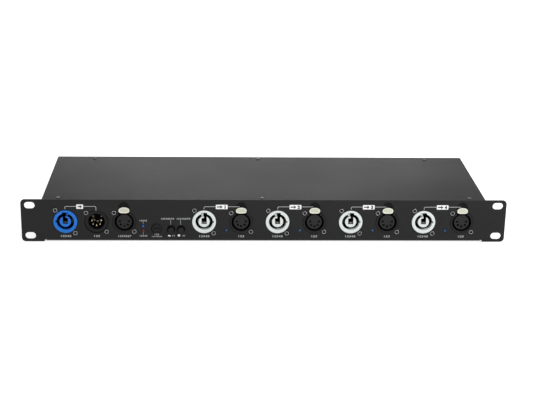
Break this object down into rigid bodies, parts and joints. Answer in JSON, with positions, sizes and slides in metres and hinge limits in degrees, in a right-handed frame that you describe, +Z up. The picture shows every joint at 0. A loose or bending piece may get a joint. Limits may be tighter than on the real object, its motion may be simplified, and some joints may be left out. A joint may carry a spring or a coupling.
{
  "type": "dmx splitter",
  "caption": "Flat rack-mount box with a wide folded steel panel of locking mains and round data connectors, indicator lamps and push buttons.",
  "frame": {"origin": "under the middle of the whole box, on the plane of the rack ears' bottom edges", "axes": "+X along the panel to the right as seen from the front, +Y from the panel into the rack, +Z up"},
  "size_m": [0.4826, 0.148, 0.044],
  "materials": {
    "panel_paint": "fine matte powder coat",
    "cover_paint": "satin powder coat",
    "zinc_steel": "zinc plated",
    "blue_plastic": "satin moulded",
    "pale_plastic": "satin moulded",
    "contact_metal": "tin plated",
    "black_plastic": "moulded",
    "insert_plastic": "moulded",
    "gold_plate": "gold plated",
    "tab_metal": "satin ivory",
    "blue_lens": "clear tinted",
    "red_lens": "clear tinted",
    "black_rubber": "matte",
    "button_plastic": "satin moulded",
    "board_laminate": "solder mask",
    "core_iron": "ferrite with a taped winding",
    "lead_sheath": "satin"
  },
  "bodies": {
    "root": {"front_panel": "panel_paint", "chassis_tray": "panel_paint", "top_cover": "cover_paint", "front_rail": "zinc_steel", "cover_screw_front_1": "zinc_steel", "cover_screw_front_2": "zinc_steel", "cover_screw_front_3": "zinc_steel", "cover_screw_rear_1": "zinc_steel", "cover_screw_rear_2": "zinc_steel", "cover_screw_rear_3": "zinc_steel", "power_inlet": "blue_plastic", "power_outlet_1": "pale_plastic", "power_outlet_2": "pale_plastic", "power_outlet_3": "pale_plastic", "power_outlet_4": "pale_plastic", "power_inlet_contacts": "contact_metal", "power_outlet_1_contacts": "contact_metal", "power_outlet_2_contacts": "contact_metal", "power_outlet_3_contacts": "contact_metal", "power_outlet_4_contacts": "contact_metal", "data_in_shell": "black_plastic", "data_in_insert": "insert_plastic", "data_in_pins": "gold_plate", "data_link_shell": "black_plastic", "data_link_insert": "insert_plastic", "data_out_1_shell": "black_plastic", "data_out_1_insert": "insert_plastic", "data_out_2_shell": "black_plastic", "data_out_2_insert": "insert_plastic", "data_out_3_shell": "black_plastic", "data_out_3_insert": "insert_plastic", "data_out_4_shell": "black_plastic", "data_out_4_insert": "insert_plastic", "signal_lamp": "blue_lens", "power_lamp": "red_lens", "output_lamp_1": "blue_lens", "output_lamp_2": "blue_lens", "output_lamp_3": "blue_lens", "output_lamp_4": "blue_lens", "service_socket": "zinc_steel", "terminate_switch": "black_plastic", "filter_switch": "black_plastic", "input_board": "board_laminate", "output_board_1": "board_laminate", "output_board_2": "board_laminate", "output_board_3": "board_laminate", "output_board_4": "board_laminate", "supply_board": "board_laminate", "transformer": "core_iron", "mains_lead": "lead_sheath", "low_voltage_lead": "lead_sheath", "signal_lead": "lead_sheath"},
    "terminate_button": {"terminate_button": "button_plastic"},
    "filter_button": {"filter_button": "button_plastic"},
    "service_plug": {"service_plug": "black_rubber"},
    "data_link_latch": {"data_link_latch": "tab_metal"},
    "data_out_1_latch": {"data_out_1_latch": "tab_metal"},
    "data_out_2_latch": {"data_out_2_latch": "tab_metal"},
    "data_out_3_latch": {"data_out_3_latch": "tab_metal"},
    "data_out_4_latch": {"data_out_4_latch": "tab_metal"}
  },
  "joints": [
    {"name": "terminate_press", "type": "slide", "parent": "root", "child": "terminate_button", "axis": [0, 1, 0], "range_m": [0, 0.0025], "stiffness_N_per_m": 500, "springref_m": -0.001},
    {"name": "filter_press", "type": "slide", "parent": "root", "child": "filter_button", "axis": [0, 1, 0], "range_m": [0, 0.0025], "stiffness_N_per_m": 500, "springref_m": -0.001},
    {"name": "service_plug_pull", "type": "slide", "parent": "root", "child": "service_plug", "axis": [0, -1, 0], "range_m": [0, 0.012]},
    {"name": "data_link_release", "type": "hinge", "parent": "root", "child": "data_link_latch", "pos_m": [-0.1398, -0.0674, 0.0365], "axis": [1, 0, 0], "range_deg": [0, 10], "stiffness_Nm_per_rad": 0.05, "springref_deg": -5.73},
    {"name": "data_out_1_release", "type": "hinge", "parent": "root", "child": "data_out_1_latch", "pos_m": [-0.0239, -0.0674, 0.0365], "axis": [1, 0, 0], "range_deg": [0, 10], "stiffness_Nm_per_rad": 0.05, "springref_deg": -5.73},
    {"name": "data_out_2_release", "type": "hinge", "parent": "root", "child": "data_out_2_latch", "pos_m": [0.0492, -0.0674, 0.0365], "axis": [1, 0, 0], "range_deg": [0, 10], "stiffness_Nm_per_rad": 0.05, "springref_deg": -5.73},
    {"name": "data_out_3_release", "type": "hinge", "parent": "root", "child": "data_out_3_latch", "pos_m": [0.1223, -0.0674, 0.0365], "axis": [1, 0, 0], "range_deg": [0, 10], "stiffness_Nm_per_rad": 0.05, "springref_deg": -5.73},
    {"name": "data_out_4_release", "type": "hinge", "parent": "root", "child": "data_out_4_latch", "pos_m": [0.1972, -0.0674, 0.0365], "axis": [1, 0, 0], "range_deg": [0, 10], "stiffness_Nm_per_rad": 0.05, "springref_deg": -5.73}
  ]
}
